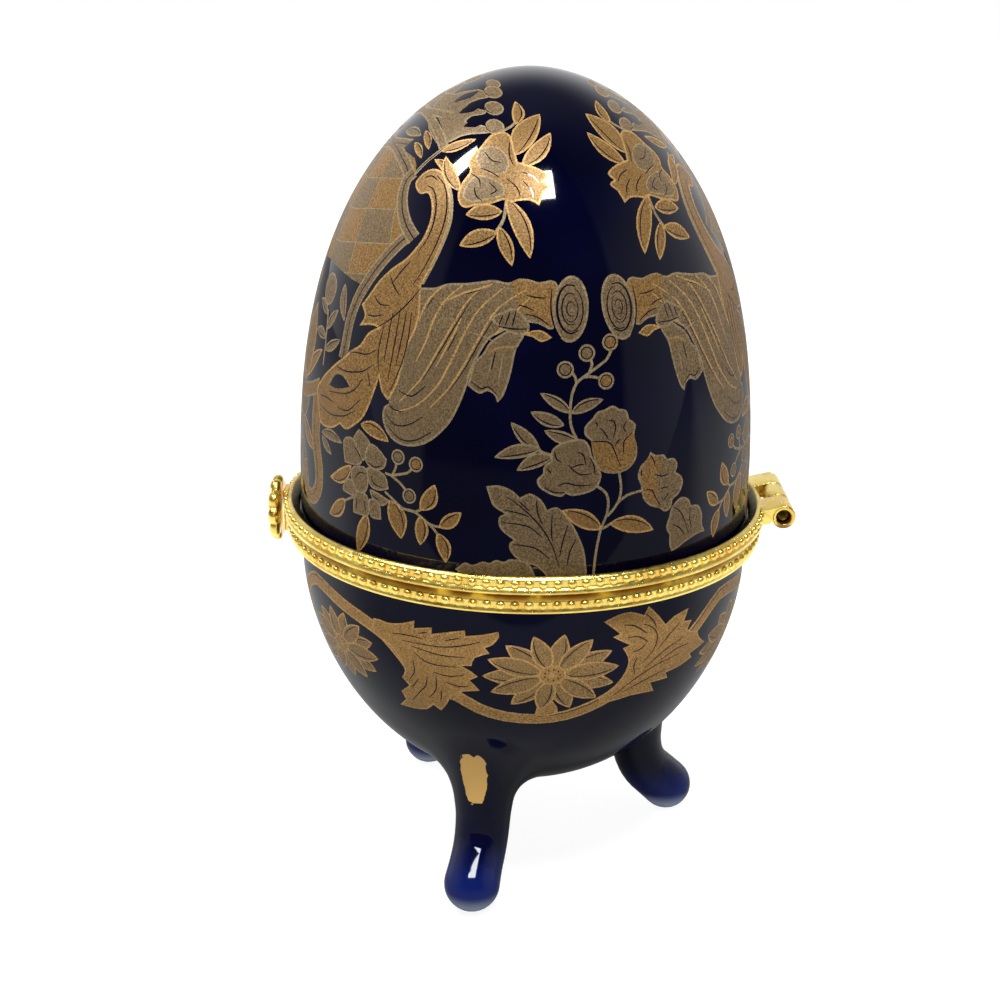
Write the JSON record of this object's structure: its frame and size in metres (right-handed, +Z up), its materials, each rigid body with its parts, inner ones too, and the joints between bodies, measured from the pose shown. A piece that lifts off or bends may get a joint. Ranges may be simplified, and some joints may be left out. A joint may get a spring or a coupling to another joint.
{
  "type": "egg trinket box",
  "caption": "Hinged porcelain egg box on short cast legs, with a gilt floral print, beaded brass rims and a flower clasp.",
  "frame": {"origin": "on the surface the feet stand on, under the egg's axis", "axes": "+Z up along the egg's axis; -Y is the front with the clasp; +Y is the back with the hinge; the hinge axis runs along X"},
  "size_m": [0.0654, 0.0712, 0.1077],
  "materials": {
    "cobalt_glaze": null,
    "polished_brass": "bright polished gilt brass",
    "pin_brass": "dull brass"
  },
  "bodies": {
    "base": {"base_bowl": "cobalt_glaze", "base_rim": "polished_brass", "hinge_pin": "pin_brass"},
    "lid": {"lid_shell": "cobalt_glaze", "lid_rim": "polished_brass", "clasp_flower": "polished_brass"}
  },
  "joints": [
    {"name": "lid_hinge", "type": "hinge", "parent": "base", "child": "lid", "pos_m": [0, 0.03445, 0.05105], "axis": [-1, 0, 0], "range_deg": [0, 90]}
  ]
}
